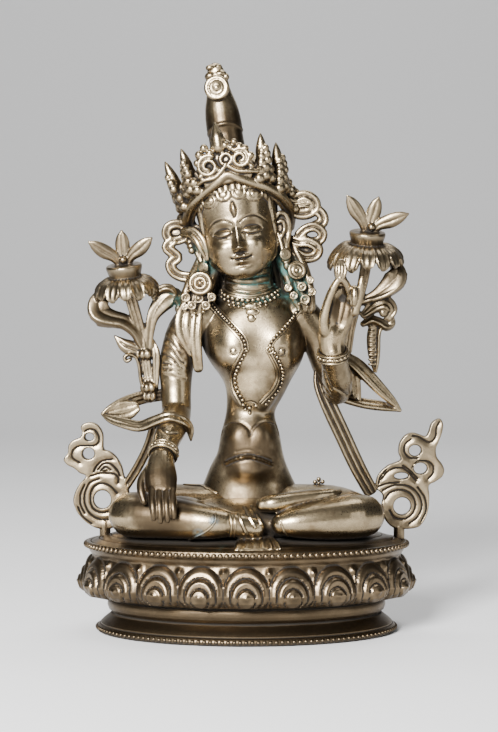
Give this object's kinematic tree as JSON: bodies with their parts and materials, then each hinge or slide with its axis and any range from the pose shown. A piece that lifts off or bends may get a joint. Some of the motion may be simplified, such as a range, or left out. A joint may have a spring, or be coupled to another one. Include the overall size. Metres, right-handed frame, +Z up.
{
  "type": "seated goddess figure on a lotus throne",
  "caption": "Small cast metal figure of a seated, crowned goddess with a lotus at each shoulder, on an oval lotus throne.",
  "frame": {"origin": "centre of the throne's flat underside", "axes": "+Z up, -Y towards the front that the figure faces, +X towards the figure's left"},
  "size_m": [0.1408, 0.0862, 0.2085],
  "materials": {
    "throne_metal": "aged silvered bronze, polished on the raised parts, dark brown patina in the hollows",
    "figure_metal": "aged silvered bronze, polished on the raised parts, dark patina in the hollows, green verdigris at the neck",
    "spray_metal": "aged silvered bronze, satin, dark patina in the hollows"
  },
  "bodies": {
    "root": {"lotus_throne": "throne_metal", "tara_figure": "figure_metal", "right_lotus": "spray_metal", "left_lotus": "spray_metal", "right_scarf_end": "spray_metal", "left_scarf_end": "spray_metal"}
  },
  "joints": []
}
